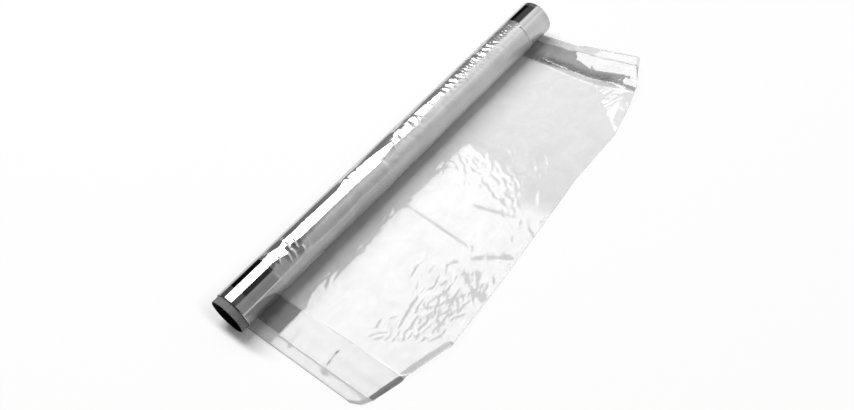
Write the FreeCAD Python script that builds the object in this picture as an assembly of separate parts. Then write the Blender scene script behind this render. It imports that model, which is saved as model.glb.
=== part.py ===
"""Roll of clear cooking film on a thin paper core, with the free end of the film pulled out in front.

Lengths are millimetres. X runs along the roll, from its near end to its far end. The origin is the
centre of the core's mouth at the near end. Z is up and the film is pulled out towards -Y.
The film is one piece: the wound turns and the pulled-out end are one solid.
A place on the film is given by "across", measured over its width from the near edge, and by
"pull", measured from the roll's axis towards the free end.
"""

import FreeCAD
import Part
import math
import os

# Driving dimensions
FILM_WIDTH = 300.0
ROLL_RADIUS = 13.3
CORE_RADIUS = 12.35
CORE_WALL = 0.85
CORE_LENGTH = 305.0
CORE_PROTRUDES = 5.0
CORE_EDGE = 0.2

# The film is drawn thicker than the real one, so that it is a solid that can be made and meshed.
FILM = 0.3
TURN_STEP = 0.2
VISIBLE_TURNS = 2

# Along each edge: a plain strip, a welded line, a side band of more layers, and its inner fold.
WELD_AT = 7.5
WELD_WIDTH = 0.8
BAND_END = 27.0
FOLD_WIDTH = 0.7
STRIP_DROP = 0.10
FIELD_DROP = 0.12
WELD_RISE = 0.06

# How the roll rests: a small flat spot, which runs on into the pulled-out film.
GROUND = -ROLL_RADIUS + 0.1
FLAT_BACK = 1.0
FLAT_LIFTS = 3.0
VALLEY = 2.5
TAIL = 10.0

# The free end's outline: (across, pull) where its direction changes.
FREE_END = [(0.0, 92.0), (3.0, 98.5), (8.0, 101.5), (58.0, 117.5), (93.0, 114.5),
            (192.0, 106.0), (236.0, 106.0), (262.0, 101.0), (278.0, 96.5), (300.0, 86.0)]

# Creases in the middle field: (across, pull) of both ends, then height and half width.
CREASES = [(121.0, 20.0, 112.0, 86.0, 0.9, 5.0),
           (108.0, 66.0, 86.0, 114.5, 1.0, 5.0),
           (105.0, 86.0, 122.0, 111.5, 0.9, 5.0),
           (68.0, 60.0, 59.0, 104.0, 0.5, 4.6),
           (140.0, 58.0, 147.0, 96.0, 0.5, 4.6),
           (186.0, 20.0, 172.0, 78.0, 0.6, 5.0),
           (30.0, 70.0, 57.0, 116.0, 0.7, 4.6)]
CREASE_FADE = 12.0

# Crinkles where the thin field was handled: middle and spread (across, pull), height. Their ups
# and downs come from two waves, each given by its radians per millimetre across and along.
CRINKLED = [((66.0, 94.0), (26.0, 15.0), 0.40),
            ((168.0, 44.0), (20.0, 22.0), 0.30),
            ((215.0, 74.0), (34.0, 20.0), 0.20)]
UNEVEN = ((1.9, 0.7), (0.9, -2.3))

# Soft ripples that cross the side bands: pull, height and half width.
NEAR_RIPPLES = [(64.0, 0.8, 8.0), (34.0, 0.5, 9.0)]
FAR_RIPPLES = [(46.0, 1.0, 10.0), (22.0, 0.6, 7.0)]
RIPPLE_EDGE = 8.0

# Shallow waves over the middle field: height, and lengths across and along the film over 2 pi.
WAVE = 0.25
WAVE_ACROSS = 17.0
WAVE_ALONG = 15.0
WAVE_FADE = 14.0

# The far fold stands up as a pleat: its height, the width of its flank and back, what is left
# of it behind, and the pulls at which it begins and ends.
PLEAT = 2.4
PLEAT_FLANK = 6.0
PLEAT_BACK = 14.0
PLEAT_LEFT = 0.2
PLEAT_BEGINS = (14.0, 26.0)
PLEAT_ENDS = (78.0, 92.0)

# Bends down at the free end: (across from, to, fades over, radius, turn in degrees).
NEAR_BEND = (-20.0, 46.0, 24.0, 3.6, 50.0)
FAR_BEND = (276.0, 322.0, 20.0, 3.8, 42.0)
# The film climbs towards the near bend, over this length, to this height.
CLIMB = 56.0
CLIMB_HEIGHT = 3.6

# The far corner stands up beyond a diagonal fold through these two places (across, pull), as a
# plane with this slope that curls up to its full lift at the tip.
CORNER_LINE = ((236.0, 106.5), (272.0, 67.0))
CORNER_SLOPE = 0.17
CORNER_LIFT = 8.4

# The pulled-out film lies in flat facets: their width in the field and in the far band, and the
# rows from the roll to the free end.
FACET = 4.7
BAND_FACET = 3.9
FIRST_ROW = 4.0
ROWS = 19
BEND_ROWS = 4
BEND_ROOM = 4.2
PATH_STEP = 0.2


def smooth(t):
    """A step from 0 to 1 that starts and ends level."""
    t = min(1.0, max(0.0, t))
    return t * t * (3.0 - 2.0 * t)


def between(value, points):
    """The value read from a line through (place, value) points."""
    for (a0, b0), (a1, b1) in zip(points, points[1:]):
        if value <= a1:
            return b0 + (b1 - b0) * (value - a0) / (a1 - a0)
    return points[-1][1]


def face_of(edges):
    return Part.Face(Part.Wire(edges))


def zones():
    """(start, end, rise) of the stretches across the film that differ in thickness."""
    half_weld, half_fold = WELD_WIDTH / 2, FOLD_WIDTH / 2
    starts = [(0.0, -STRIP_DROP), (WELD_AT - half_weld, WELD_RISE), (WELD_AT + half_weld, 0.0),
              (BAND_END - half_fold, WELD_RISE), (BAND_END + half_fold, -FIELD_DROP)]
    near = [(start, after[0], rise) for (start, rise), after in zip(starts, starts[1:])]
    far = [(FILM_WIDTH - end, FILM_WIDTH - start, rise) for start, end, rise in reversed(near)]
    field_start, field_drop = starts[-1]
    return near + [(field_start, FILM_WIDTH - field_start, field_drop)] + far


# ---------------------------------------------------------------- core

def core_tube():
    """The paper core: a plain thin tube, with the outer edges of its cut ends broken."""
    along = FreeCAD.Vector(1, 0, 0)
    mouth = FreeCAD.Vector(0, 0, 0)
    outside = Part.makeCylinder(CORE_RADIUS, CORE_LENGTH, mouth, along)
    rims = [edge for edge in outside.Edges if isinstance(edge.Curve, Part.Circle)]
    outside = outside.makeChamfer(CORE_EDGE, rims)
    return outside.cut(Part.makeCylinder(CORE_RADIUS - CORE_WALL, CORE_LENGTH, mouth, along))


# ---------------------------------------------------------------- wound turns

def turn_arcs(x, start, first_y, last_y):
    """One turn as four tangent arcs, each a quarter film smaller, so that it closes one film in.

    It begins behind the bottom of the roll, over first_y, and climbs the back first. It ends in
    front of the bottom, over last_y.
    """
    shrink = FILM / 4
    centre, radius = FreeCAD.Vector(x, 0, 0), start
    arcs = []
    for quarter in range(4):
        begin, end = quarter * math.pi / 2, (quarter + 1) * math.pi / 2
        if quarter == 0:
            begin = math.asin((first_y - centre.y) / radius)
        if quarter == 3:
            end = 2 * math.pi + math.asin((last_y - centre.y) / radius)
        ways = [FreeCAD.Vector(0, math.sin(a), -math.cos(a)) for a in (begin, (begin + end) / 2, end)]
        arcs.append(Part.Arc(*[centre + way * radius for way in ways]))
        centre += ways[2] * shrink
        radius -= shrink
    return arcs


def zone_section(x, rise):
    """The roll's section, with its flat spot and the first stretch of the pulled-out film."""
    arcs = turn_arcs(x, ROLL_RADIUS + rise, FLAT_LIFTS, -VALLEY)
    back, front = arcs[0].StartPoint, arcs[-1].EndPoint
    top = GROUND + FILM + rise
    path = [front] + [FreeCAD.Vector(x, y, z) for y, z in (
        (-VALLEY, top), (-TAIL, top), (-TAIL, GROUND), (FLAT_BACK, GROUND))] + [back]
    sides = [Part.makeLine(a, b) for a, b in zip(path, path[1:])]
    return face_of([arc.toShape() for arc in arcs] + sides)


def turn_recess(x, turn, depth):
    """The space inside one turn at a cut end, as deep as the next turns are set back."""
    arcs = turn_arcs(x, ROLL_RADIUS - FILM * turn, 0.0, 0.0)
    step = Part.makeLine(arcs[-1].EndPoint, arcs[0].StartPoint)
    return face_of([arc.toShape() for arc in arcs] + [step]).extrude(FreeCAD.Vector(depth, 0, 0))


def wound_turns():
    """The wound film: its zones side by side, as separate solids that touch."""
    return [zone_section(CORE_PROTRUDES + start, rise).extrude(FreeCAD.Vector(end - start, 0, 0))
            for start, end, rise in zones()]


def core_room():
    """What is cut from the wound film: the core's space, and the set-back turns at both ends."""
    near, far = CORE_PROTRUDES, CORE_PROTRUDES + FILM_WIDTH
    room = [Part.makeCylinder(CORE_RADIUS, FILM_WIDTH, FreeCAD.Vector(near, 0, 0),
                              FreeCAD.Vector(1, 0, 0))]
    for turn in range(1, VISIBLE_TURNS + 1):
        room += [turn_recess(near, turn, TURN_STEP * turn), turn_recess(far, turn, -TURN_STEP * turn)]
    return room


# ---------------------------------------------------------------- pulled-out film

def edge_distance(across):
    return min(across, FILM_WIDTH - across)


def free_end(across):
    return between(across, FREE_END)


def ridge(distance, half_width):
    """A rounded ridge of height 1."""
    return math.exp(-(distance / half_width) ** 2)


def from_line(across, pull, a0, p0, a1, p1):
    """Distances along and beside the line from (a0, p0) to (a1, p1), and its length."""
    da, dp = a1 - a0, p1 - p0
    length = math.hypot(da, dp)
    along = ((across - a0) * da + (pull - p0) * dp) / length
    beside = ((across - a0) * dp - (pull - p0) * da) / length
    return along, beside, length


def crease(across, pull, a0, p0, a1, p1, height, half_width):
    """A sharp ridge along a line, fading out at both ends."""
    along, beside, length = from_line(across, pull, a0, p0, a1, p1)
    fade = smooth(along / CREASE_FADE + 0.5) * smooth((length - along) / CREASE_FADE + 0.5)
    return height * fade * max(0.0, 1.0 - abs(beside) / half_width)


def crinkles(across, pull):
    """Ups and downs from facet to facet, strongest in the middle of each handled patch."""
    uneven = math.prod(math.sin(across * a + pull * p) for a, p in UNEVEN)
    amount = sum(height * ridge((across - a) / da, 1.0) * ridge((pull - p) / dp, 1.0)
                 for (a, p), (da, dp), height in CRINKLED)
    field = smooth((edge_distance(across) - BAND_END) / WAVE_FADE)
    return field * amount * (1.0 + uneven)


def corner_rise(across, pull):
    """The far corner stands up beyond its diagonal fold."""
    (a0, p0), (a1, p1) = CORNER_LINE
    beyond = -from_line(across, pull, a0, p0, a1, p1)[1]
    most = -from_line(FILM_WIDTH, free_end(FILM_WIDTH), a0, p0, a1, p1)[1]
    share = max(0.0, beyond / most)
    plane = CORNER_SLOPE * most
    return plane * share + (CORNER_LIFT - plane) * share ** 3


def bend_share(across, bend):
    """How much of a bend there is at this place across the film."""
    start, end, fade = bend[:3]
    return smooth((across - start) / fade) * smooth((end - across) / fade)


def band_ripples(across, pull):
    """The stiffer side bands lie in long soft ripples that run across them."""
    side = edge_distance(across)
    band = smooth(side / RIPPLE_EDGE) * smooth((BAND_END + RIPPLE_EDGE - side) / RIPPLE_EDGE)
    ripples = NEAR_RIPPLES if across < FILM_WIDTH / 2 else FAR_RIPPLES
    return band * sum(height * ridge(pull - at, half_width) for at, height, half_width in ripples)


def pleat(across, pull):
    """The far fold stands up along the film, steep on its inner side."""
    (begins, begun), (ends, ended) = PLEAT_BEGINS, PLEAT_ENDS
    there = smooth((pull - begins) / (begun - begins)) * smooth((ended - pull) / (ended - ends))
    fold = FILM_WIDTH - BAND_END
    flank = smooth((across - fold) / PLEAT_FLANK)
    back = smooth((across - fold - PLEAT_FLANK) / PLEAT_BACK)
    return PLEAT * there * flank * (1.0 - (1.0 - PLEAT_LEFT) * back)


def field_waves(across, pull):
    """The thin field lies almost flat, in shallow waves."""
    field = smooth((edge_distance(across) - BAND_END) / WAVE_FADE)
    wave = math.sin(across / WAVE_ACROSS) * math.sin(pull / WAVE_ALONG)
    return field * WAVE * (1.0 + wave)


def lift(across, pull):
    """How high the film's underside lies over the ground before its end bends down."""
    height = band_ripples(across, pull) + field_waves(across, pull) + corner_rise(across, pull)
    height += pleat(across, pull) + crinkles(across, pull)
    height += sum(crease(across, pull, *line) for line in CREASES)
    near = bend_share(across, NEAR_BEND) * CLIMB_HEIGHT
    height += near * smooth((pull - free_end(across)) / CLIMB + 1.0)
    return height * smooth((pull - TAIL) / TAIL)


def bend_turn(across, pull):
    """How far the film has turned downwards at this pull, in radians."""
    turned = 0.0
    for bend in (NEAR_BEND, FAR_BEND):
        radius, degrees = bend[3:]
        arc = radius * math.radians(degrees)
        past = (pull - free_end(across) + arc) / arc
        turned += bend_share(across, bend) * math.radians(degrees) * smooth(past)
    return turned


def on_crease(across, pull, reach):
    """This place across the film, moved onto a crease that passes within reach of it."""
    for a0, p0, a1, p1, _, _ in CREASES:
        if p0 <= pull <= p1:
            crossing = a0 + (a1 - a0) * (pull - p0) / (p1 - p0)
            if abs(crossing - across) < reach:
                return crossing
    return across


def film_path(line, thickness, reach):
    """Points under the film and on it, from the roll to the free end, along one line of facets."""
    under, top = [], []
    y, drop, here = -TAIL, 0.0, TAIL
    for pull in pull_lines(line):
        across = on_crease(line, pull, reach)
        x = CORE_PROTRUDES + across
        steps = max(1, math.ceil((pull - here) / PATH_STEP))
        step = (pull - here) / steps
        for i in range(steps):
            turned = bend_turn(across, here + (i + 0.5) * step)
            y -= step * math.cos(turned)
            drop += step * math.sin(turned)
        here = pull
        z = GROUND + lift(across, pull) - drop
        turned = bend_turn(across, pull)
        under.append(FreeCAD.Vector(x, y, z))
        top.append(FreeCAD.Vector(x, y - thickness * math.sin(turned), z + thickness * math.cos(turned)))
    return under, top


def spread(stops):
    """Places along (place, count to the next) stops, evenly between each two."""
    places = []
    for (start, count), (end, _) in zip(stops, stops[1:]):
        places += [start + (end - start) * i / count for i in range(count)]
    return places + [stops[-1][0]]


def pull_lines(across):
    """Even steps, and close ones in the last few millimetres, where the free end bends."""
    end = free_end(across)
    return spread([(TAIL, 1), (TAIL + FIRST_ROW, ROWS), (end - BEND_ROOM, BEND_ROWS), (end, 0)])


def across_lines(start, end):
    """Even lines across a zone, closer in the far band, where the pleat is."""
    facet = BAND_FACET if start > FILM_WIDTH - BAND_END else FACET
    return spread([(start, math.ceil((end - start) / facet)), (end, 0)])


def facets(grid):
    """Flat triangles over a grid of points, each cell split along its shorter diagonal."""
    faces = []
    for row, after in zip(grid, grid[1:]):
        for a, b, c, d in zip(row, row[1:], after[1:], after):
            if a.distanceToPoint(c) < b.distanceToPoint(d):
                corners = (a, b, c), (a, c, d)
            else:
                corners = (a, b, d), (b, c, d)
            faces += [Part.Face(Part.makePolygon([*three, three[0]])) for three in corners]
    return faces


def film_strip(start, end, rise):
    """One zone of the pulled-out film, as a thin solid of flat facets."""
    lines = across_lines(start, end)
    columns = [film_path(line, FILM + rise, FACET / 2 if start < line < end else 0.0) for line in lines]
    under = [column[0] for column in columns]
    top = [column[1] for column in columns]
    faces = facets(under) + facets(top) + facets([under[0], top[0]]) + facets([under[-1], top[-1]])
    faces += facets([[u[0] for u in under], [t[0] for t in top]])
    faces += facets([[u[-1] for u in under], [t[-1] for t in top]])
    shell = Part.Shell(faces)
    shell.sewShape()
    solid = Part.Solid(shell)
    if solid.Volume < 0:
        solid.reverse()
    return solid


def pulled_out_film():
    return [film_strip(*zone) for zone in zones()]


def cooking_film():
    """One piece of film: the wound turns and what is pulled out of them."""
    pieces = wound_turns() + pulled_out_film()
    film = pieces[0].multiFuse(pieces[1:])
    return film.cut(core_room()).removeSplitter()


def write(name, shape):
    solid = shape if isinstance(shape, Part.Solid) else shape.Solids[0]
    box = solid.BoundBox
    print(f"{name}: {len(shape.Solids)} solid, valid {solid.isValid()}, faces {len(solid.Faces)}, "
          f"volume {solid.Volume:.0f} mm3, x {box.XMin:.2f}..{box.XMax:.2f}, "
          f"y {box.YMin:.2f}..{box.YMax:.2f}, z {box.ZMin:.2f}..{box.ZMax:.2f}")
    solid.exportStep(f"parts/{name}.step")


os.makedirs("parts", exist_ok=True)
write("core_tube", core_tube())
write("cooking_film", cooking_film())
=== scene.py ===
"""The look of the cooking film roll: its wound film, its pulled-out end and its core, in a plain studio.

Shapes are worked out in millimetres and turned into metres when a mesh is made. A place on the film
is given by "across", measured over its width from the near edge, and by "pull", measured from the
roll's axis towards the free end.
"""

import math

import bpy
import numpy as np
from mathutils import Matrix, Vector

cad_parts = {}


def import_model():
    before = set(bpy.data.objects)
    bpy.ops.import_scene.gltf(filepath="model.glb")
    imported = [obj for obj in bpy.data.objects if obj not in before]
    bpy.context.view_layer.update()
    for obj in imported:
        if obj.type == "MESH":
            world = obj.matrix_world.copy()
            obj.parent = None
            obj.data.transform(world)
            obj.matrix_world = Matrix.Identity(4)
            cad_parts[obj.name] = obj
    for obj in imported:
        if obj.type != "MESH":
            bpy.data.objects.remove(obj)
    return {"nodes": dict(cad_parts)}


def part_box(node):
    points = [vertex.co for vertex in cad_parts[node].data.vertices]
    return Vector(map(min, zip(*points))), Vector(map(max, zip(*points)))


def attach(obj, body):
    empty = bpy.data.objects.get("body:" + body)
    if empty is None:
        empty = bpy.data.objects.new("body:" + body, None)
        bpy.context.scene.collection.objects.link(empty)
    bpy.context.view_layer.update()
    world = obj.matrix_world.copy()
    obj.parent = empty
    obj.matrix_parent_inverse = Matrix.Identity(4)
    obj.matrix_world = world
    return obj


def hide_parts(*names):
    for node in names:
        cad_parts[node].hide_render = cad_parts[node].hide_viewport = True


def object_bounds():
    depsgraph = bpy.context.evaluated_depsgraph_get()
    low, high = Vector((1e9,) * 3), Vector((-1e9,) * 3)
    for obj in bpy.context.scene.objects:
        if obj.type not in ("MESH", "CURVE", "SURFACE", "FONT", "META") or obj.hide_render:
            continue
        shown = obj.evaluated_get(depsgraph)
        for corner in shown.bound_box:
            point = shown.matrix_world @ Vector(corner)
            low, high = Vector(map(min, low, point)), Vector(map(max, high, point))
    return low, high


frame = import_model()
cad_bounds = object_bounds()

MM = 0.001
SEED = 11

# Sizes from the frame
film_low, film_high = (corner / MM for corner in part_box("cooking_film"))
core_low, core_high = (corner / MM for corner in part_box("core_tube"))
FILM_START = film_low.x
FILM_WIDTH = film_high.x - film_low.x
GROUND = film_low.z
ROLL_RADIUS = film_high.z
CORE_RADIUS = core_high.z
CORE_WALL = 0.85
BORE_RADIUS = CORE_RADIUS - CORE_WALL

# The film's thickness, how far each turn is set back at the ends, and the strips, welds, bands and
# folds across it, with their steps in thickness.
FILM = 0.3
TURN_STEP = 0.2
WELD_AT = 7.5
WELD_WIDTH = 0.8
BAND_END = 27.0
FOLD_WIDTH = 0.7
STRIP_DROP = 0.10
FIELD_DROP = 0.12
WELD_RISE = 0.06
# The real film's steps in thickness are slighter than the solid's.
STEP_SHARE = 0.2

# The pulled-out film lies on the ground up to this pull, and is free to lift after so much more.
TAIL = 10.0
TAIL_FADE = 9.0

# The free end's outline: (across, pull) where its direction changes.
FREE_END = [(0.0, 92.0), (3.0, 98.5), (8.0, 101.5), (58.0, 117.5), (93.0, 114.5),
            (192.0, 106.0), (236.0, 106.0), (262.0, 101.0), (278.0, 96.5), (300.0, 86.0)]

# Where the strips and bands change on the roll's outer turn, which was wound a little off line.
ROLL_BANDS = (8.0, 29.5, 277.0, 295.5)

# Mesh steps: across and along the sheet, rows in its turned end, the sheet's first row, the width of
# a step in thickness, and steps across and round the roll.
GRID = 0.85
ROW_GRID = 0.95
TURN_ROWS = 8
SHEET_START = -1.0
STEP_WIDTH = 0.08
ROLL_GRID = 0.52
AROUND = 160


# ---------------------------------------------------------------- small maths

def smooth(t):
    """A step from 0 to 1 that starts and ends level."""
    t = np.clip(t, 0.0, 1.0)
    return t * t * (3.0 - 2.0 * t)


def ridge(distance, half_width):
    """A rounded ridge of height 1."""
    return np.exp(-(distance / half_width) ** 2)


def tent(distance, half_width):
    """A sharp-topped ridge of height 1."""
    return np.clip(1.0 - np.abs(distance) / half_width, 0.0, 1.0)


def line_parts(a, p, line):
    """Distances along and beside a line from (a0, p0) to (a1, p1), and the line's length."""
    a0, p0, a1, p1 = line
    length = math.hypot(a1 - a0, p1 - p0)
    da, dp = (a1 - a0) / length, (p1 - p0) / length
    return (a - a0) * da + (p - p0) * dp, (a - a0) * dp - (p - p0) * da, length


def crease(a, p, line, height, half_width, shape=tent, fade=6.0):
    """A ridge along a line, fading out at both ends."""
    along, beside, length = line_parts(a, p, line)
    ends = smooth(along / fade + 0.5) * smooth((length - along) / fade + 0.5)
    return height * ends * shape(beside, half_width)


# How much scattered creases vary: their lean in degrees, and their length, height and width in shares.
LEAN_SPREAD = 20.0
LENGTH_SHARES = (0.5, 1.4)
HEIGHT_SHARES = (0.4, 1.2)
WIDTH_SHARES = (0.7, 1.5)


def scattered_creases(a, p, rng, count, centre, reach, lean, length, height, half_width):
    """Many short creases about a centre, most of them leaning the same way (degrees from across)."""
    total = np.zeros_like(a)
    for _ in range(count):
        a0 = rng.normal(centre[0], reach[0])
        p0 = rng.normal(centre[1], reach[1])
        way = math.radians(rng.normal(lean, LEAN_SPREAD))
        half = rng.uniform(*LENGTH_SHARES) * length / 2
        da, dp = half * math.cos(way), half * math.sin(way)
        rise = height * rng.uniform(*HEIGHT_SHARES) * rng.choice((-1.0, 1.0))
        width = half_width * rng.uniform(*WIDTH_SHARES)
        near = (np.abs(a - a0) < half + 3 * width) & (np.abs(p - p0) < half + 3 * width)
        if near.any():
            total[near] += crease(a[near], p[near], (a0 - da, p0 - dp, a0 + da, p0 + dp), rise, width)
    return total


def zones():
    """(start, end, rise) of the stretches across the film that differ in thickness."""
    half_weld, half_fold = WELD_WIDTH / 2, FOLD_WIDTH / 2
    starts = [(0.0, -STRIP_DROP), (WELD_AT - half_weld, WELD_RISE), (WELD_AT + half_weld, 0.0),
              (BAND_END - half_fold, WELD_RISE), (BAND_END + half_fold, -FIELD_DROP)]
    near = [(start, after[0], rise) for (start, rise), after in zip(starts, starts[1:])]
    far = [(FILM_WIDTH - end, FILM_WIDTH - start, rise) for start, end, rise in reversed(near)]
    field_start, field_drop = starts[-1]
    return near + [(field_start, FILM_WIDTH - field_start, field_drop)] + far


def across_lines():
    """Places across the film, close enough to show its relief, with a pair at each step in it."""
    lines = []
    for start, end, _ in zones():
        count = max(2, round((end - start) / GRID))
        lines += list(np.linspace(start + STEP_WIDTH / 2, end - STEP_WIDTH / 2, count + 1))
    lines[0], lines[-1] = 0.0, FILM_WIDTH
    return np.array(lines)


def thickness(a):
    """The film's extra thickness at these places across it."""
    extra = np.zeros_like(a)
    for start, end, rise in zones():
        extra[(a >= start) & (a <= end)] = rise * STEP_SHARE
    return extra


def edge_distance(a):
    """Distance across the film from its nearer edge."""
    return np.minimum(a, FILM_WIDTH - a)


def free_end(a):
    """The pull of the free end's outline."""
    places, pulls = zip(*FREE_END)
    return np.interp(a, places, pulls)


# ---------------------------------------------------------------- meshes

def make_object(name, points, faces, material):
    """A smooth-shaded object from points in millimetres."""
    mesh = bpy.data.meshes.new(name)
    mesh.from_pydata((points * MM).tolist(), [], faces)
    mesh.materials.append(material)
    mesh.polygons.foreach_set("use_smooth", [True] * len(mesh.polygons))
    mesh.update()
    piece = bpy.data.objects.new(name, mesh)
    bpy.context.scene.collection.objects.link(piece)
    return piece


def grid_faces(rows, columns, first=0, flip=False):
    """Quads over a grid of points stored row by row."""
    index = first + np.arange(rows * columns).reshape(rows, columns)
    quads = np.stack([index[:-1, :-1], index[1:, :-1], index[1:, 1:], index[:-1, 1:]], axis=-1)
    quads = quads.reshape(-1, 4)
    return (quads[:, ::-1] if flip else quads).tolist()


def thin_solid(name, top, under, material):
    """A thin closed solid between two grids of points."""
    rows, columns = top.shape[:2]
    size = rows * columns
    faces = grid_faces(rows, columns) + grid_faces(rows, columns, size, flip=True)
    index = np.arange(size).reshape(rows, columns)
    rim = list(index[0, :]) + list(index[1:, -1]) + list(index[-1, -2::-1]) + list(index[-2:0:-1, 0])
    for here, there in zip(rim, rim[1:] + rim[:1]):
        faces.append([int(here), int(there), int(there) + size, int(here) + size])
    points = np.concatenate([top.reshape(-1, 3), under.reshape(-1, 3)])
    return make_object(name, points, faces, material)


# ---------------------------------------------------------------- pulled-out film

# Long creases: the line, its height and half width.
CREASE_FADE = 12.0
CREASES = [((119.0, 20.0, 112.0, 86.0), 0.46, 4.4),
           ((108.0, 62.0, 86.0, 114.0), 0.50, 4.0),
           ((105.0, 86.0, 121.0, 110.0), 0.55, 3.6),
           ((68.0, 60.0, 59.0, 100.0), 0.14, 5.0),
           ((140.0, 60.0, 146.0, 92.0), 0.16, 3.0),
           ((186.0, 24.0, 172.0, 76.0), 0.22, 6.0),
           ((30.0, 72.0, 56.0, 112.0), 0.10, 2.4),
           ((29.0, 26.0, 58.0, 16.0), 0.42, 3.4)]

# Folds across the near side band, given in the same way.
FOLD_FADE = 7.0
BAND_FOLDS = [((5.0, 38.5, 20.0, 35.0), 0.25, 2.4),
              ((21.0, 35.0, 29.0, 34.0), 0.10, 1.8),
              ((5.0, 68.0, 20.0, 66.0), 0.41, 3.2),
              ((22.0, 66.5, 30.0, 70.0), 0.10, 1.8)]

# The side bands' ripples: height, pitch and a crest's place across the band, how softly they start
# and end, how far past the band they reach, and the swells across each band: (pull, height, half
# width).
RIPPLE_HEIGHT = 0.05
RIPPLE_PITCH = 9.5
RIPPLE_CREST = 8.5
RIPPLE_FADE = 5.0
RIPPLE_PAST = 2.0
NEAR_SWELLS = [(52.0, 0.25, 10.0)]
FAR_SWELLS = [(46.0, 0.7, 9.0), (24.0, 0.6, 6.0)]

# Where the free end bends down: (across from, to, fades over, radius, turn in degrees), and the least
# arc and angle that the turned rows are worked out with.
NEAR_TURN = (-20.0, 32.0, 8.0, 3.4, 84.0)
FAR_TURN = (276.0, 322.0, 20.0, 3.0, 42.0)
LEAST_ARC = 0.3
LEAST_ANGLE = 0.05

# The film climbs towards its near free end: how high, over what length, and where it does so across
# the film (from, to, fades over).
END_RISE = 3.6
CLIMB = 60.0
RISE_REACH = (-20.0, 116.0, 70.0)

# Past its last crease the free end slopes down: (across from, to, fades over), width and slope.
END_FACETS = [((22.0, 58.5, 1.5), 4.0, 0.30), ((242.0, 292.0, 14.0), 6.5, 0.17)]

# The far corner's diagonal fold, its slope beyond that, and how far the fold alone lifts its tip. From
# CORNER_BAND outwards it is steeper across the film by CORNER_MORE, which starts softly.
CORNER_LINE = (272.0, 67.0, 236.0, 106.5)
CORNER_SLOPE = 0.19
CORNER_LIFT = 7.1
CORNER_BAND = 277.0
CORNER_MORE = 0.06
CORNER_FADE = 5.0

# The far pleat: the pulls at which it starts and ends and how softly, how far its fold wanders, the
# places of its flank and of the fall behind it from that fold, its height, the share of it that the
# fall takes, and the wrinkles' height and outer end.
PLEAT_START = (14.0, 12.0)
PLEAT_END = (92.0, 14.0)
PLEAT_WANDER = 1.2
PLEAT_FLANK = (-1.5, 2.5)
PLEAT_BACK = (1.0, 9.0)
PLEAT_HEIGHT = 2.2
PLEAT_FALL = 0.85
PLEAT_WRINKLE = 0.17
WRINKLE_END = (7.0, 3.0)

# The far band's outer part: (across, pull) where its start passes and how that line leans, its slope,
# how far it takes to bend up, and the place (across, pull) and lean of the diagonal where it begins.
OUTER_PLACE = (283.0, 36.0)
OUTER_LEAN = 0.20
OUTER_SLOPE = 0.20
OUTER_BEND = 6.0
OUTER_BEGIN = (292.0, 33.0)
BEGIN_LEAN = 0.8
BEGIN_FADE = 8.0
OUTER_EDGE_FADE = 7.0

# The thin field's shallow waves: height, and how softly they start at the fold.
WAVE_HEIGHT = 0.16
WAVE_FADE = 14.0


def corner_rise(a, p):
    """The far corner stands up beyond its diagonal fold, as a plane that curls up at its tip."""
    _, beyond, _ = line_parts(a, p, CORNER_LINE)
    _, most, _ = line_parts(FILM_WIDTH, float(free_end(FILM_WIDTH)), CORNER_LINE)
    share = np.clip(beyond / most, 0.0, None)
    plane = CORNER_SLOPE * most
    more = CORNER_MORE * np.clip(a - CORNER_BAND, 0.0, None) * smooth(beyond / CORNER_FADE)
    return plane * share + (CORNER_LIFT - plane) * share ** 3 + more


def turn_share(a, turn):
    """How much of a turn, rise or facet there is at this place across the film."""
    start, end, fade = turn[:3]
    return smooth((a - start) / fade) * smooth((end - a) / fade)


def turn_arc(a):
    """Length of film in the turned-under end, and how far it turns in all."""
    arc, angle = np.zeros_like(a), np.zeros_like(a)
    for turn in (NEAR_TURN, FAR_TURN):
        radius, degrees = turn[3:]
        share = turn_share(a, turn)
        angle += share * math.radians(degrees)
        arc += share * radius * math.radians(degrees)
    return np.maximum(arc, LEAST_ARC), np.minimum(angle, math.pi)


def end_reach(a):
    """How far out the turned end starts, so that the turn itself reaches the outline."""
    arc, angle = turn_arc(a)
    radius = arc / np.maximum(angle, LEAST_ANGLE)
    turned = radius * np.sin(np.minimum(angle, math.pi / 2))
    return free_end(a) - np.where(angle > LEAST_ANGLE, turned, 0.0)


def with_swells(ripple, p, swells):
    """A band's ripple and the swells that cross it."""
    for place, rise, half_width in swells:
        ripple = ripple + rise * ridge(p - place, half_width)
    return ripple


def band_ripples(a, p):
    """The stiffer side bands lie in long soft ripples that run along and across them."""
    side = edge_distance(a)
    band = smooth(side / RIPPLE_FADE) * smooth((BAND_END + RIPPLE_PAST - side) / RIPPLE_FADE)
    ripple = RIPPLE_HEIGHT * np.cos((side - RIPPLE_CREST) * 2 * math.pi / RIPPLE_PITCH)
    near, far = with_swells(ripple, p, NEAR_SWELLS), with_swells(ripple, p, FAR_SWELLS)
    height = band * np.where(a < FILM_WIDTH / 2, near, far)
    for line, rise, half_width in BAND_FOLDS:
        height = height + crease(a, p, line, rise, half_width, ridge, FOLD_FADE)
    return height


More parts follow.
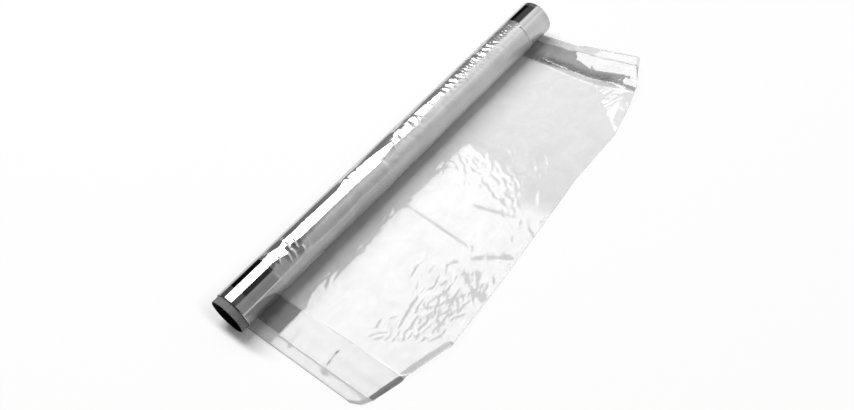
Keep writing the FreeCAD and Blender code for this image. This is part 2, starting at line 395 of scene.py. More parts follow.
def far_pleat(a, p):
    """The far fold stands up as a pleat that falls away outwards, crossed by fine wrinkles."""
    ends = smooth((p - PLEAT_START[0]) / PLEAT_START[1]) * smooth((PLEAT_END[0] - p) / PLEAT_END[1])
    past = a - (FILM_WIDTH - BAND_END + PLEAT_WANDER * np.sin(p / 13.0))
    flank = np.clip((past - PLEAT_FLANK[0]) / PLEAT_FLANK[1], 0.0, 1.0)
    back = np.clip((past - PLEAT_BACK[0]) / PLEAT_BACK[1], 0.0, 1.0)
    wrinkles = np.sin(p * 1.5 + 0.9 * np.sin(p * 0.5) + 0.5 * a) + np.sin(p * 2.6 - 0.9 * a)
    kept = 1.0 - smooth((past - WRINKLE_END[0]) / WRINKLE_END[1])
    wrinkles = PLEAT_WRINKLE * wrinkles * flank * kept
    return ends * (PLEAT_HEIGHT * flank * (1.0 - PLEAT_FALL * back) + wrinkles)


def outer_rise(a, p):
    """The far band tilts up towards its weld, from where the pleat begins to spread."""
    start = a - OUTER_PLACE[0] + OUTER_LEAN * (p - OUTER_PLACE[1])
    past = np.clip(start + 0.8 * np.sin(p / 3.7), 0.0, None)
    bent = np.minimum(past, OUTER_BEND)
    tilt = OUTER_SLOPE * (past - bent + bent ** 2 / (2 * OUTER_BEND))
    begun = p - OUTER_BEGIN[1] - BEGIN_LEAN * (OUTER_BEGIN[0] - a) + 0.6 * np.sin(a * 1.3)
    return tilt * smooth(begun / BEGIN_FADE) * smooth((FILM_WIDTH - a) / OUTER_EDGE_FADE)


def field_waves(a, p):
    """The thin field lies almost flat, in shallow waves."""
    field = smooth((edge_distance(a) - BAND_END) / WAVE_FADE)
    wave = np.sin(a / 17.0 + 0.8 * np.sin(p / 23.0)) * np.sin(p / 15.0 + a / 61.0)
    return field * WAVE_HEIGHT * (1.0 + wave)


# Patches of short creases: how many, their middle, spread, lean in degrees, length, height, half width.
WRINKLES = [(330, (64.0, 95.0), (17.0, 9.0), -17.0, 6.5, 0.27, 0.95),
            (50, (84.0, 86.0), (9.0, 8.0), -20.0, 12.0, 0.26, 1.3),
            (60, (35.0, 78.0), (4.0, 6.0), 45.0, 5.0, 0.14, 0.9),
            (240, (168.0, 40.0), (12.0, 14.0), -38.0, 5.5, 0.11, 0.9),
            (90, (176.0, 72.0), (14.0, 6.0), -35.0, 7.0, 0.12, 1.0),
            (260, (225.0, 72.0), (32.0, 22.0), -25.0, 8.0, 0.12, 1.1),
            (110, (128.0, 98.0), (14.0, 8.0), -20.0, 7.0, 0.11, 1.1),
            (120, (264.0, 78.0), (5.0, 14.0), 30.0, 3.5, 0.16, 0.8),
            (60, (40.0, 22.0), (12.0, 4.0), -25.0, 6.0, 0.20, 1.0),
            (120, (90.0, 22.0), (45.0, 2.6), -30.0, 5.0, 0.22, 1.0),
            (120, (110.0, 50.0), (50.0, 18.0), -25.0, 7.0, 0.05, 1.1),
            (170, (77.0, 104.0), (15.0, 4.5), -12.0, 7.0, 0.25, 1.1)]
# Beyond this line, at the near free corner, the field is smooth.
SMOOTH_CORNER = (30.0, 70.0, 56.0, 113.0)


def crinkles(a, p):
    """Short sharp creases over the thin field, thickest where it was handled."""
    rng = np.random.default_rng(SEED)
    field = smooth((edge_distance(a) - BAND_END) / 2.0)
    _, inside, _ = line_parts(a, p, SMOOTH_CORNER)
    field = field * smooth(inside / 2.0 + 0.5)
    total = np.zeros_like(a)
    for patch in WRINKLES:
        total += scattered_creases(a, p, rng, *patch)
    return field * total


def lift(a, p):
    """How high the film's underside lies over the ground before its end turns down."""
    height = band_ripples(a, p) + field_waves(a, p) + crinkles(a, p) + far_pleat(a, p)
    height += np.maximum(corner_rise(a, p), outer_rise(a, p))
    for line, rise, half_width in CREASES:
        height += crease(a, p, line, rise, half_width, ridge, CREASE_FADE)
    near = turn_share(a, RISE_REACH) * END_RISE
    height += near * smooth((p - free_end(a) + CLIMB) / CLIMB)
    for facet, width, slope in END_FACETS:
        past = np.clip(p - free_end(a) + width, 0.0, None)
        height -= turn_share(a, facet) * slope * past
    return np.maximum(height, 0.0) * smooth((p - TAIL) / TAIL_FADE)


def turned_end(a_lines):
    """The last rows: how far each has gone out and down, and its angle, from where the turn starts."""
    arc, angle = turn_arc(a_lines)
    radius = arc / np.maximum(angle, LEAST_ANGLE)
    turned = np.linspace(0.0, 1.0, TURN_ROWS + 1)[1:, None] * angle
    return radius * np.sin(turned), radius * (1.0 - np.cos(turned)), turned


def sheet_surfaces(a_lines, reach):
    """The sheet's top and underside, row by row from the roll to the free end."""
    count = round((max(reach) - SHEET_START) / ROW_GRID)
    shares = np.linspace(0.0, 1.0, count + 1)[:, None]
    pull = SHEET_START + shares * (reach - SHEET_START)[None, :]
    out, down, turned = turned_end(a_lines)
    forward = np.concatenate([pull, reach + out])
    across = np.broadcast_to(a_lines, forward.shape).copy()
    height = lift(across[:len(pull)], pull)
    height = np.concatenate([height, np.broadcast_to(height[-1], out.shape)])
    drop = np.concatenate([0 * pull, down])
    turned = np.concatenate([0 * pull, turned])
    thick = FILM + thickness(across)
    top = np.stack([FILM_START + across, -forward, GROUND + height + thick - drop], axis=-1)
    under = top + np.stack([0 * thick, thick * np.sin(turned), -thick * np.cos(turned)], axis=-1)
    for surface in (top, under):
        surface[..., 2] = np.maximum(surface[..., 2], GROUND)
    return top, under


def pulled_out_film(material):
    """The film's free end, laid on the floor in front of the roll."""
    a_lines = across_lines()
    reach = end_reach(a_lines)
    piece = thin_solid("pulled_out_film", *sheet_surfaces(a_lines, reach), material)
    flat = reach + turn_arc(a_lines)[0]
    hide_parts("cooking_film")
    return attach(piece, "root")


# ---------------------------------------------------------------- wound film

# Folds along the roll: from (across, degrees round) to (across, degrees round), height, and how far
# they reach below and above the line. Degrees are the surface's facing: 0 to the front, 90 up.
ROLL_FOLDS = [((28.0, 95.0), (34.5, 102.0), 0.24, 3.0, 1.6),
              ((34.5, 102.0), (43.5, 84.0), 0.42, 2.8, 1.5),
              ((43.5, 84.0), (48.5, 101.0), 0.42, 2.8, 1.5),
              ((48.5, 101.0), (53.0, 92.0), 0.30, 2.8, 1.5),
              ((53.0, 92.0), (61.0, 93.0), 0.26, 3.2, 1.8),
              ((61.0, 93.0), (65.0, 99.0), 0.26, 3.2, 1.8),
              ((65.0, 99.0), (74.0, 92.0), 0.26, 3.2, 1.8),
              ((74.0, 92.0), (96.0, 89.0), 0.30, 3.2, 1.8),
              ((96.0, 89.0), (103.0, 105.0), 0.70, 4.6, 1.5),
              ((103.0, 105.0), (112.0, 104.0), 0.70, 4.6, 1.5),
              ((112.0, 104.0), (133.0, 88.0), 0.46, 4.0, 1.7),
              ((133.0, 88.0), (149.0, 76.0), 0.36, 3.0, 1.4),
              ((151.0, 90.0), (153.5, 105.0), 0.66, 4.6, 1.5),
              ((153.5, 105.0), (163.0, 95.0), 0.44, 4.4, 1.5),
              ((163.0, 95.0), (166.5, 103.0), 0.42, 4.0, 1.5),
              ((166.5, 103.0), (196.0, 89.0), 0.36, 3.6, 1.6),
              ((54.0, 65.0), (92.0, 63.0), 0.34, 4.4, 2.4),
              ((92.0, 63.0), (112.0, 60.0), 0.36, 4.6, 2.4),
              ((112.0, 60.0), (129.0, 57.0), 0.40, 5.0, 2.6),
              ((130.0, 63.0), (139.0, 70.0), 0.24, 2.0, 1.6),
              ((139.0, 70.0), (166.0, 61.0), 0.26, 2.2, 1.8),
              ((168.0, 74.0), (197.0, 78.0), 0.20, 2.2, 2.2),
              ((33.0, 67.0), (46.0, 51.0), 0.46, 1.8, 2.2),
              ((46.0, 51.0), (57.0, 32.0), 0.30, 1.8, 2.4),
              ((57.0, 32.0), (80.0, 20.0), 0.12, 3.0, 4.0)]
ROLL_FOLD_FADE = 2.5

# Gathers that narrow from a wide end to a tip, facing the near end: both ends (across, degrees
# round), half width and height.
GATHERS = [((45.4, 76.0), (45.8, 51.0), 2.9, 0.58), ((50.4, 69.0), (50.0, 44.0), 1.9, 0.60),
           ((36.2, 64.0), (35.6, 47.0), 2.0, 0.55), ((42.0, 54.0), (41.6, 27.0), 1.9, 0.42),
           ((45.8, 48.0), (45.2, 26.0), 1.7, 0.42), ((50.8, 38.0), (50.2, 8.0), 3.0, 0.75),
           ((166.0, 76.0), (164.5, 60.0), 1.6, 0.30), ((141.0, 72.0), (140.0, 50.0), 1.8, 0.24),
           ((149.6, 98.0), (149.2, 72.0), 1.6, 0.34)]
# The shares of a gather's width over which it rises and drops.
GATHER_RISE = 0.85
GATHER_DROP = 0.15

# The comb of slanting creases: where it starts and ends across the film and round it, with the widths
# over which it does, and the pitch and height of its large and small teeth.
COMB_START = (193.0, 8.0)
COMB_END = (276.0, 4.0)
COMB_BACK = (112.0, 3.0)
COMB_FRONT = (58.0, 5.0)
LARGE_TEETH = (6.4, 0.38)
SMALL_TEETH = (2.7, 0.11)

# The roll's scattered creases: how many, their middle (across, degrees round), spread, lean in
# degrees, length, height and half width.
ROLL_CREASES = [(240, (238.0, 84.0), (24.0, 4.5), 60.0, 4.0, 0.11, 0.8),
                (60, (160.0, 70.0), (30.0, 8.0), 60.0, 8.0, 0.05, 1.6)]

# The wound film's own weld and fold lines: (across, height of the step's edge), their half width, and
# the facing in degrees below which they show.
ROLL_LINES = [(8.0, 0.05), (276.2, 0.30)]
LINE_HALF_WIDTH = 0.9
LINES_BELOW = 72.0

# The far band's fine crosswise ripple: height, pitch, the facing in degrees of its middle, and how far
# round it reaches.
FINE_HEIGHT = 0.03
FINE_PITCH = 1.9
FINE_PLACE = 86.0
FINE_REACH = 2.4

# How far the middle field lies below the bands on the roll.
ROLL_FIELD_DROP = 0.04


def facing_arc(degrees):
    """Distance round the outer turn, from the bottom up the back, of a place facing this way."""
    return math.radians(270.0 - degrees) * ROLL_RADIUS


def cusp(distance, reach):
    """A sharp-topped ridge of height 1 that dies away."""
    return np.exp(-np.abs(distance) / reach)


def uneven_fold(a, arc, fold):
    """A sharp-topped fold with a gentle lower side and a steeper upper side."""
    (a0, from_degrees), (a1, to_degrees), height, below, above = fold
    line = (a0, facing_arc(from_degrees), a1, facing_arc(to_degrees))
    along, beside, length = line_parts(a, arc, line)
    ends = smooth(along / ROLL_FOLD_FADE + 0.5) * smooth((length - along) / ROLL_FOLD_FADE + 0.5)
    return height * ends * np.where(beside < 0, cusp(beside, below), cusp(beside, above))


def gather(a, arc, wide_end, tip, half_width, height):
    """A fold that rises slowly away from the near end and drops sharply, narrowing to its tip."""
    line = (wide_end[0], facing_arc(wide_end[1]), tip[0], facing_arc(tip[1]))
    along, beside, length = line_parts(a, arc, line)
    left = np.clip(1.0 - along / length, 0.02, 1.0)
    share = (beside / (half_width * left) + 1.0) / 2.0
    rise = np.clip(np.minimum(share / GATHER_RISE, (1.0 - share) / GATHER_DROP), 0.0, 1.0)
    return height * left * rise * smooth(along / 4.0 + 1.0) * (along < length)


def saw(place):
    """A zigzag of pitch 1 that runs between 0 and 1."""
    return np.abs((place % 1.0) - 0.5) * 2.0


def zigzags(a, arc):
    """A comb of sharp slanting creases over the far third of the roll's top. Its large teeth are
    tallest at its start, and again at about 242 across."""
    window = smooth((a - COMB_START[0]) / COMB_START[1]) * smooth((COMB_END[0] - a) / COMB_END[1])
    window = window * smooth((arc - facing_arc(COMB_BACK[0])) / COMB_BACK[1])
    window = window * smooth((facing_arc(COMB_FRONT[0]) - arc) / COMB_FRONT[1])
    down = arc - facing_arc(90.0)
    pitch, height = LARGE_TEETH
    large = saw((a - 0.5 * down + 2.6 * np.sin(a / 7.9) + 0.35 * np.sin(down / 1.9 + a / 2.1)) / pitch)
    large = height * large * (0.20 + 0.80 * smooth((220.0 - a) / 16.0) + 0.75 * ridge(a - 242.0, 7.0))
    pitch, height = SMALL_TEETH
    small = saw((a - 0.3 * down) / pitch + 0.3 * np.sin(down / 1.1))
    return window * (large + height * small)


def roll_waves(a, arc):
    """Soft waves and fine ripples all round the outer turn, and longer ones down its front."""
    waves = 0.05 * np.sin(a / 8.0 + 1.3 * np.sin(arc / 7.0)) * np.sin(arc / 4.5 + a / 30.0)
    waves += 0.03 * np.sin(arc / 1.1 + 1.4 * np.sin(a / 14.0) + a / 9.0) * np.sin(a / 11.0 + 1.0)
    front = smooth((arc - facing_arc(54.0)) / 4.0)
    return waves + 0.09 * front * np.sin(arc / 2.5 + 0.9 * np.sin(a / 13.0) + a / 31.0)


def band_marks(a, arc):
    """The relief outside the middle field: weld and fold lines, and the far band's fine ripple."""
    shown = smooth((arc - facing_arc(LINES_BELOW)) / 2.0)
    lines = sum(height * shown * tent(a - place, LINE_HALF_WIDTH) for place, height in ROLL_LINES)
    far_band = smooth((a - ROLL_BANDS[2]) / 1.5) * smooth((ROLL_BANDS[3] - a) / 1.5)
    fine = np.sin(a * 2 * math.pi / FINE_PITCH + 0.4 * arc) * ridge(arc - facing_arc(FINE_PLACE), FINE_REACH)
    return lines + far_band * FINE_HEIGHT * fine


def roll_relief(a, turn):
    """How far the roll's outer turn stands proud: folds, gathers and creases in its middle field."""
    rng = np.random.default_rng(SEED + 1)
    side = np.where(a < FILM_WIDTH / 2, a - ROLL_BANDS[1], ROLL_BANDS[2] - a)
    arc = turn * ROLL_RADIUS
    total = roll_waves(a, arc) + zigzags(a, arc)
    for fold in ROLL_FOLDS:
        total += uneven_fold(a, arc, fold)
    for one in GATHERS:
        total += gather(a, arc, *one)
    for count, (middle, facing), *rest in ROLL_CREASES:
        total += scattered_creases(a, arc, rng, count, (middle, facing_arc(facing)), *rest)
    return smooth(side / 1.5) * total + band_marks(a, arc)


def ring_points(across, radius, angle):
    """Points round the roll's axis. The angle starts at the bottom and goes up the back."""
    return np.stack([FILM_START + across, radius * np.sin(angle), -radius * np.cos(angle)], axis=-1)


def end_steps(angle):
    """A cut end, from its outer turn in to the core: (how far it is set back, radii round it)."""
    steps = []
    for turn in (1, 2):
        inner = ROLL_RADIUS - FILM * (turn + angle / (2 * math.pi))
        steps += [(TURN_STEP * (turn - 1), inner), (TURN_STEP * turn, inner)]
    return steps + [(2 * TURN_STEP, np.full_like(angle, CORE_RADIUS))]


def outer_turn(angle):
    """The outer turn's points. It closes one film in on its way round."""
    a_lines = np.linspace(0.0, FILM_WIDTH, round(FILM_WIDTH / ROLL_GRID) + 1)
    across, around = np.meshgrid(a_lines, angle)
    field = smooth(across - ROLL_BANDS[1] + 0.5) * smooth(ROLL_BANDS[2] - across + 0.5)
    radius = ROLL_RADIUS - FILM * around / (2 * math.pi) - ROLL_FIELD_DROP * field
    return ring_points(across, radius + roll_relief(across, around), around)


def wound_film(material):
    """The wound turns as one closed ring: outer turn, stepped ends, and the wall on the core."""
    angle = 2 * math.pi * np.linspace(0.0, 1.0, AROUND + 1)
    steps = [(depth + 0 * angle, radii) for depth, radii in end_steps(angle)]
    near_end = [ring_points(depth, radii, angle)[:, None, :] for depth, radii in reversed(steps)]
    far_end = [ring_points(FILM_WIDTH - depth, radii, angle)[:, None, :] for depth, radii in steps]
    points = np.concatenate([*near_end, outer_turn(angle), *far_end], axis=1)
    points[..., 2] = np.maximum(points[..., 2], GROUND)
    rows, columns = points.shape[:2]
    faces = grid_faces(rows, columns, flip=True)
    for first in range(0, (rows - 1) * columns, columns):
        below = first + columns
        faces.append([first, below, below + columns - 1, below - 1])
    piece = make_object("wound_film", points.reshape(-1, 3), faces, material)
    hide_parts("cooking_film")
    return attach(piece, "root")


# ---------------------------------------------------------------- materials

def new_material(name):
    """A node material, with its nodes and links."""
    material = bpy.data.materials.new(name)
    material.use_nodes = True
    return material, material.node_tree.nodes, material.node_tree.links


def math_node(nodes, links, operation, *values, clamp=False):
    """A math node. Each value is a number or a socket."""
    node = nodes.new("ShaderNodeMath")
    node.operation = operation
    node.use_clamp = clamp
    for socket, value in zip(node.inputs, values):
        if isinstance(value, (int, float)):
            socket.default_value = value
        else:
            links.new(value, socket)
    return node.outputs[0]


def ramp(nodes, links, value, stops, interpolation="LINEAR"):
    """A grey read from (place, grey) stops."""
    node = nodes.new("ShaderNodeValToRGB")
    node.color_ramp.interpolation = interpolation
    elements = node.color_ramp.elements
    while len(elements) < len(stops):
        elements.new(1.0)
    for element, (place, grey) in zip(elements, stops):
        element.position = place
        element.color = (grey, grey, grey, 1.0)
    links.new(value, node.inputs[0])
    return node.outputs[0]


def product(nodes, links, value, *others):
    """Values multiplied together."""
    for other in others:
        value = math_node(nodes, links, "MULTIPLY", value, other)
    return value


def changed(nodes, links, value, share, change):
    """A value that grows by this part of itself, as far as the share says."""
    part = math_node(nodes, links, "MULTIPLY", share, change)
    return product(nodes, links, value, math_node(nodes, links, "ADD", 1.0, part))


def hypotenuse(nodes, links, *sides):
    """The root of the sum of two values' squares."""
    squares = [math_node(nodes, links, "MULTIPLY", side, side) for side in sides]
    return math_node(nodes, links, "SQRT", math_node(nodes, links, "ADD", *squares))


def place_parts(nodes, links):
    """The place on a piece, as X, Y and Z in metres."""
    split = nodes.new("ShaderNodeSeparateXYZ")
    links.new(nodes.new("ShaderNodeTexCoord").outputs["Object"], split.inputs[0])
    return split.outputs


def share_across(nodes, links):
    """The share of the film's width, from its near edge."""
    across = math_node(nodes, links, "SUBTRACT", place_parts(nodes, links)["X"], FILM_START * MM)
    return math_node(nodes, links, "DIVIDE", across, FILM_WIDTH * MM, clamp=True)


def by_zone(nodes, links, places, values):
    """A value for each zone across the film: they begin at these places from its near edge. The
    values run from that edge in to the middle field, and the far side mirrors them."""
    starts = [0.0] + [at / FILM_WIDTH for at in places]
    values = values + values[-2::-1]
    return ramp(nodes, links, share_across(nodes, links), list(zip(starts, values)), "CONSTANT")


def along_film(nodes, links, value, near, far):
    """A value that changes evenly from the film's near half to its far half."""
    change = ramp(nodes, links, share_across(nodes, links), [(0.35, near), (0.75, far)])
    return product(nodes, links, value, change)


def noise(nodes, links, scale, detail, distortion=0.0):
    """Soft noise over a piece, between 0 and 1."""
    node = nodes.new("ShaderNodeTexNoise")
    node.inputs["Scale"].default_value = scale
    node.inputs["Detail"].default_value = detail
    node.inputs["Distortion"].default_value = distortion
    links.new(nodes.new("ShaderNodeTexCoord").outputs["Object"], node.inputs["Vector"])
    return node.outputs["Fac"]


def mottled(nodes, links, value, scale, least, most):
    """A value that varies softly from place to place."""
    share = ramp(nodes, links, noise(nodes, links, scale, 4.0, 1.2), [(0.35, least), (0.65, most)])
    return product(nodes, links, value, share)


# Where the sheet's strip, weld, band, fold and field begin and end.
SHEET_ZONES = [zone[0] for zone in zones()][1:]

# How far out from the far fold the crushed, doubled film and its painted shade reach, and the pull at
# which they end. The painted shade by the share of each, and by the noise of its streaks.
PLEAT_SHADE = 10.0
PLEAT_ENDS = 88.0
SHADE_OUT = [(0.0, 0.0), (0.05, 1.0), (0.5, 0.8), (0.95, 0.0)]
SHADE_ALONG = [(0.15, 0.4), (0.35, 1.0), (0.85, 1.0), (0.98, 0.0)]
SHADE_STREAKS = [(0.38, 0.95), (0.62, 0.35)]


def doubled_pleat_and_painted_shade(nodes, links, value):
    """The far pleat's film is doubled, so it is darker, and it also gets painted shade of its steep crinkled
    folds, in fine streaks.
    """
    x, y, _ = place_parts(nodes, links)
    out = math_node(nodes, links, "SUBTRACT", x, (FILM_START + FILM_WIDTH - BAND_END) * MM)
    out = math_node(nodes, links, "DIVIDE", out, PLEAT_SHADE * MM, clamp=True)
    pull = math_node(nodes, links, "DIVIDE", y, -PLEAT_ENDS * MM, clamp=True)
    streaks = ramp(nodes, links, noise(nodes, links, 420.0, 3.0, 0.8), SHADE_STREAKS)
    there = product(nodes, links, ramp(nodes, links, out, SHADE_OUT), ramp(nodes, links, pull, SHADE_ALONG))
    return changed(nodes, links, value, product(nodes, links, there, streaks), -1.0)


def sheet_material():
    """Clear film lying flat. Its side bands, of more layers, are shinier and less see-through. Its colour is
    painted lighter towards the far half, as painted light, and darker in the far pleat, partly as painted
    shade.
    """
    material, nodes, links = new_material("film_sheet")
    shader = nodes["Principled BSDF"]
    colour = by_zone(nodes, links, SHEET_ZONES, [0.77, 0.30, 0.50, 0.78, 0.92])
    colour = mottled(nodes, links, colour, 46.0, 0.90, 1.0)
    # The far pleat's colour is darker: doubled film, and painted shade in fine streaks.
    colour = doubled_pleat_and_painted_shade(nodes, links, colour)
    # The colour is painted lighter towards the far half: painted light from the far side.
    links.new(along_film(nodes, links, colour, 0.84, 1.0), shader.inputs["Base Color"])
    links.new(by_zone(nodes, links, SHEET_ZONES, [0.0, 0.10, 0.17, 0.10, 0.0]), shader.inputs["Metallic"])
    alpha = by_zone(nodes, links, SHEET_ZONES, [0.47, 0.85, 0.80, 0.60, 0.49])
    alpha = mottled(nodes, links, alpha, 60.0, 0.93, 1.0)
    links.new(along_film(nodes, links, alpha, 1.0, 0.82), shader.inputs["Alpha"])
    shader.inputs["Roughness"].default_value = 0.08
    shader.inputs["IOR"].default_value = 1.55
    shader.inputs["Specular IOR Level"].default_value = 0.9
    return material


# Where the roll's upper front gets a painted sheen and is milkier: by the share of the width, of the
# roll's radius out to the front, and of its radius up. There its colour is painted lighter and its
# metal drops by these parts.
MILK_AND_SHEEN_ACROSS = [(0.17, 0.0), (0.30, 1.0), (0.58, 1.0), (0.75, 0.6), (0.915, 0.5), (0.925, 0.0)]
MILK_AND_SHEEN_FRONT = [(0.04, 0.2), (0.28, 1.0), (0.64, 1.0), (0.84, 0.0)]
MILK_AND_SHEEN_HEIGHT = [(0.30, 0.0), (0.50, 1.0)]
PAINTED_SHEEN_COLOUR = 0.28
MILKY_METAL = -0.45

# The roll's roughness by the share of its radius up: it is smoothest on top.
ROUGH_HEIGHT = [(0.0, 1.0), (0.55, 1.0), (0.82, 0.45)]


def milk_and_painted_sheen(nodes, links, height):
    """How much painted sheen the upper front of the roll gets, and how much milkier and less metallic it is
    there.
    """
    front = math_node(nodes, links, "DIVIDE", place_parts(nodes, links)["Y"], -ROLL_RADIUS * MM, clamp=True)
    return product(nodes, links, ramp(nodes, links, share_across(nodes, links), MILK_AND_SHEEN_ACROSS),
                   ramp(nodes, links, front, MILK_AND_SHEEN_FRONT), ramp(nodes, links, height, MILK_AND_SHEEN_HEIGHT))


def roll_material():
    """Many turns of clear film, like dull metal: milkier over the thin field and on the upper front,
    with a painted sheen on the upper front and painted light towards the far end, and duller low on
    the front and towards the far end."""
    material, nodes, links = new_material("film_roll")
    shader = nodes["Principled BSDF"]
    height = place_parts(nodes, links)["Z"]
    height = math_node(nodes, links, "DIVIDE", height, ROLL_RADIUS * MM, clamp=True)
    milk_and_sheen = milk_and_painted_sheen(nodes, links, height)
    colour = by_zone(nodes, links, ROLL_BANDS, [0.50, 0.50, 0.58])
    # The colour is painted lighter towards the far end: painted light from the far side.
    colour = along_film(nodes, links, mottled(nodes, links, colour, 45.0, 0.9, 1.0), 1.0, 1.10)
    # A painted sheen: the upper front's colour is painted lighter.
    links.new(changed(nodes, links, colour, milk_and_sheen, PAINTED_SHEEN_COLOUR), shader.inputs["Base Color"])
    metal = by_zone(nodes, links, ROLL_BANDS, [0.85, 1.0, 0.74])
    links.new(changed(nodes, links, metal, milk_and_sheen, MILKY_METAL), shader.inputs["Metallic"])
    rough = along_film(nodes, links, by_zone(nodes, links, ROLL_BANDS, [0.14, 0.10, 0.24]), 1.0, 1.7)
    rough = product(nodes, links, rough, ramp(nodes, links, height, ROUGH_HEIGHT))
    links.new(rough, shader.inputs["Roughness"])
    return material


# How far outside the core's bore the painted shade of the bore reaches, and over what distance it fades out.
BORE_SHADE_REACH = 0.15
BORE_SHADE_FADE = 0.3


def core_material():
    """Grey card: fine fibres outside and on the rim, with painted shade that makes it nearly black down the
    bore.
    """
    material, nodes, links = new_material("core_card")
    shader = nodes["Principled BSDF"]
    _, y, z = place_parts(nodes, links)
    # Painted shade: the card is darkened to nearly black down the bore.
    bore_shade_mask = math_node(nodes, links, "SUBTRACT", hypotenuse(nodes, links, y, z), (BORE_RADIUS + BORE_SHADE_REACH) * MM)
    bore_shade_mask = math_node(nodes, links, "DIVIDE", bore_shade_mask, BORE_SHADE_FADE * MM, clamp=True)
    fibres = noise(nodes, links, 900.0, 4.0)
    card = ramp(nodes, links, fibres, [(0.3, 0.16), (0.7, 0.27)])
    links.new(product(nodes, links, card, bore_shade_mask), shader.inputs["Base Color"])
    shader.inputs["Roughness"].default_value = 0.85
    bump = nodes.new("ShaderNodeBump")
    bump.inputs["Strength"].default_value = 0.3
    bump.inputs["Distance"].default_value = 0.0002
    links.new(fibres, bump.inputs["Height"])
    links.new(bump.outputs[0], shader.inputs["Normal"])
    return material


# ---------------------------------------------------------------- stage, lights and camera

# The share of its own white that the floor shows by the roll and away from it, the distances over
# which it changes, and how much shorter they are at the roll's ends. The floor reaches far enough out
# to fill low views.
FLOOR_WHITE = (0.12, 0.92)
FLOOR_FADE = (0.009, 0.029)
END_FADE = 0.25
FLOOR_REACH = 20.0


def past_edges(nodes, links, value, low, high, scale):
    """How far a value lies outside low to high, over a scale, and 0 inside."""
    out = math_node(nodes, links, "SUBTRACT", value, (low + high) / 2)
    out = math_node(nodes, links, "ABSOLUTE", out)
    out = math_node(nodes, links, "SUBTRACT", out, (high - low) / 2)
    out = math_node(nodes, links, "MAXIMUM", out, 0.0)
    return math_node(nodes, links, "DIVIDE", out, scale)


def floor_share(nodes, links):
    """How much of its own white the floor shows: little by the roll, whose shadow it keeps."""
    low, high = core_low * MM, core_high * MM
    x, y, _ = place_parts(nodes, links)
    away = hypotenuse(nodes, links, past_edges(nodes, links, x, low.x, high.x, END_FADE),
                      past_edges(nodes, links, y, low.y, high.y, 1.0))
    fade = nodes.new("ShaderNodeMapRange")
    fade.interpolation_type = "SMOOTHSTEP"
    links.new(away, fade.inputs["Value"])
    fade.inputs["From Min"].default_value, fade.inputs["From Max"].default_value = FLOOR_FADE
    fade.inputs["To Min"].default_value, fade.inputs["To Max"].default_value = FLOOR_WHITE
    return fade.outputs[0]


def floor():
    """A white floor. What the eye and reflections see of it is partly its own white."""
    material, nodes, links = new_material("floor_white")
    shader = nodes["Principled BSDF"]
    shader.inputs["Base Color"].default_value = (0.97, 0.97, 0.97, 1)
    shader.inputs["Roughness"].default_value = 1.0
    shader.inputs["Specular IOR Level"].default_value = 0.0
    white = nodes.new("ShaderNodeEmission")
    white.inputs["Strength"].default_value = 1.0
    path = nodes.new("ShaderNodeLightPath").outputs
    seen = math_node(nodes, links, "ADD", path["Is Camera Ray"], path["Is Glossy Ray"])
    seen = math_node(nodes, links, "ADD", seen, path["Is Transmission Ray"], clamp=True)
    mix = nodes.new("ShaderNodeMixShader")
    links.new(product(nodes, links, seen, floor_share(nodes, links)), mix.inputs[0])
    links.new(shader.outputs[0], mix.inputs[1])
    links.new(white.outputs[0], mix.inputs[2])
    links.new(mix.outputs[0], nodes["Material Output"].inputs["Surface"])
    mesh = bpy.data.meshes.new("stage_floor")
    corners = [(x * FLOOR_REACH, y * FLOOR_REACH, cad_bounds[0][2])
               for x, y in ((-1, -1), (1, -1), (1, 1), (-1, 1))]
    mesh.from_pydata(corners, [], [(0, 1, 2, 3)])
    mesh.materials.append(material)
    plane = bpy.data.objects.new("stage_floor", mesh)
    bpy.context.scene.collection.objects.link(plane)


# The softbox overhead: its middle, its width and length, how far it is turned in degrees, its
# radiance, and its level by the distance from its middle in shares of its sides.
SOFTBOX_PLACE = Vector((0.43, 0.455, 1.0))
SOFTBOX_SIZE = (0.74, 1.09)
SOFTBOX_TURN = -15.0
SOFTBOX_RADIANCE = 5.6
SOFTBOX_LEVEL = [(0.0, 1.0), (0.3, 0.94), (0.6, 0.88)]


def softbox():
    """A rectangular lamp that faces straight down, brightest over its middle."""
    size_x, size_y = SOFTBOX_SIZE
    data = bpy.data.lights.new("softbox", "AREA")
    data.shape = "RECTANGLE"
    data.size, data.size_y = size_x, size_y
    data.energy = SOFTBOX_RADIANCE * size_x * size_y * math.pi
    data.use_nodes = True
    nodes, links = data.node_tree.nodes, data.node_tree.links
    split = nodes.new("ShaderNodeSeparateXYZ")
    links.new(nodes.new("ShaderNodeNewGeometry").outputs["Parametric"], split.inputs[0])
    off = [math_node(nodes, links, "SUBTRACT", split.outputs[axis], 0.5) for axis in "XY"]
    level = ramp(nodes, links, hypotenuse(nodes, links, *off), SOFTBOX_LEVEL)
    links.new(level, nodes["Emission"].inputs["Strength"])
    lamp = bpy.data.objects.new("softbox", data)
    lamp.location = SOFTBOX_PLACE
    lamp.rotation_euler.z = math.radians(SOFTBOX_TURN)
    bpy.context.scene.collection.objects.link(lamp)


# The studio's grey by the way a ray looks, from level in front (0) past overhead (0.5) to level behind
# (1): of the room, and of a pale card past the roll's far end. Along the roll, the room is this bright
# in the middle and brightens by this slope, and the card starts here and has this slope.
ROOM = [(0.0, 0.40), (0.10, 0.40), (0.16, 0.38), (0.30, 0.46), (0.335, 0.05), (0.50, 0.05),
        (0.60, 0.11), (0.76, 0.10), (0.80, 0.006), (0.95, 0.006), (1.0, 0.45)]
ROOM_LIT = (0.6, 3.0)
CARD = [(0.0, 0.55), (0.20, 0.60), (0.34, 0.90), (0.50, 1.30), (0.56, 0.0)]
CARD_LIT = (0.25, 3.0)


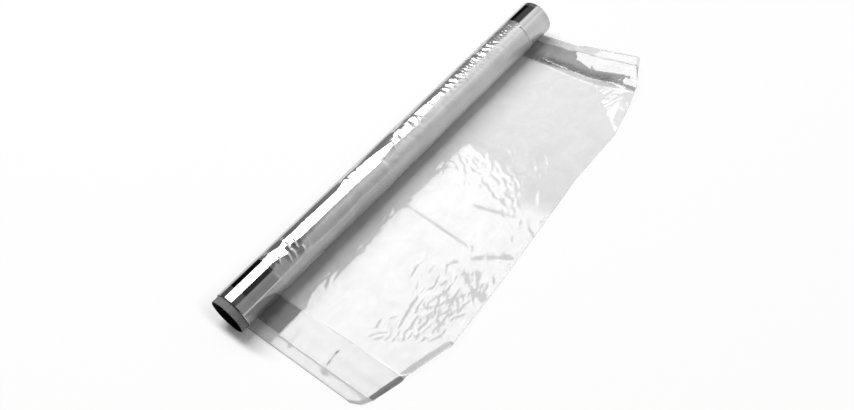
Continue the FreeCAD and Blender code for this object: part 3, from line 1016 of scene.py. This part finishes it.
def world():
    """The dim studio round the roll: pale near the floor and past the far end, dark above and behind."""
    scene = bpy.context.scene
    scene.world = bpy.data.worlds.new("studio")
    scene.world.use_nodes = True
    nodes, links = scene.world.node_tree.nodes, scene.world.node_tree.links
    way = nodes.new("ShaderNodeSeparateXYZ")
    links.new(nodes.new("ShaderNodeTexCoord").outputs["Generated"], way.inputs[0])
    x, y, z = way.outputs
    front = math_node(nodes, links, "MULTIPLY", y, -1.0)
    angle = math_node(nodes, links, "ARCTAN2", z, front)
    share = math_node(nodes, links, "DIVIDE", angle, math.pi)
    level, slope = ROOM_LIT
    lit = math_node(nodes, links, "ADD", math_node(nodes, links, "MULTIPLY", x, slope), level, clamp=True)
    room = product(nodes, links, ramp(nodes, links, share, ROOM), lit)
    start, slope = CARD_LIT
    far = math_node(nodes, links, "SUBTRACT", x, start)
    far = math_node(nodes, links, "MULTIPLY", far, slope, clamp=True)
    card = product(nodes, links, far, ramp(nodes, links, share, CARD))
    background = nodes["Background"]
    background.inputs["Color"].default_value = (1, 1, 1, 1)
    links.new(math_node(nodes, links, "ADD", room, card), background.inputs["Strength"])


# The camera's place, the place on the floor that it looks at, its roll in degrees and its lens in mm.
CAMERA_PLACE = Vector((-0.0817, -0.3240, 0.3735))
CAMERA_TARGET = Vector((0.1336, -0.0374, GROUND * MM))
CAMERA_ROLL = -17.13
CAMERA_LENS = 35.35


def camera():
    """The photo's viewpoint, fitted to the roll's two ends and the sheet's outline."""
    forward = (CAMERA_TARGET - CAMERA_PLACE).normalized()
    level = forward.cross(Vector((0, 0, 1))).normalized()
    upright = level.cross(forward)
    turn = math.radians(CAMERA_ROLL)
    right = level * math.cos(turn) + upright * math.sin(turn)
    up = right.cross(forward)
    data = bpy.data.cameras.new("camera")
    data.lens = CAMERA_LENS
    data.sensor_width = 36.0
    data.clip_start = 0.01
    eye = bpy.data.objects.new("camera", data)
    axes = Matrix((right, up, -forward)).transposed().to_4x4()
    eye.matrix_world = Matrix.Translation(CAMERA_PLACE) @ axes
    bpy.context.scene.collection.objects.link(eye)
    bpy.context.scene.camera = eye


def dress_core():
    """The core stays the CAD node, with its card material."""
    core = frame["nodes"]["core_tube"]
    core.data.materials.clear()
    core.data.materials.append(core_material())


def main():
    bpy.context.scene.view_settings.view_transform = "Standard"
    floor()
    softbox()
    world()
    camera()
    dress_core()
    pulled_out_film(sheet_material())
    wound_film(roll_material())


main()
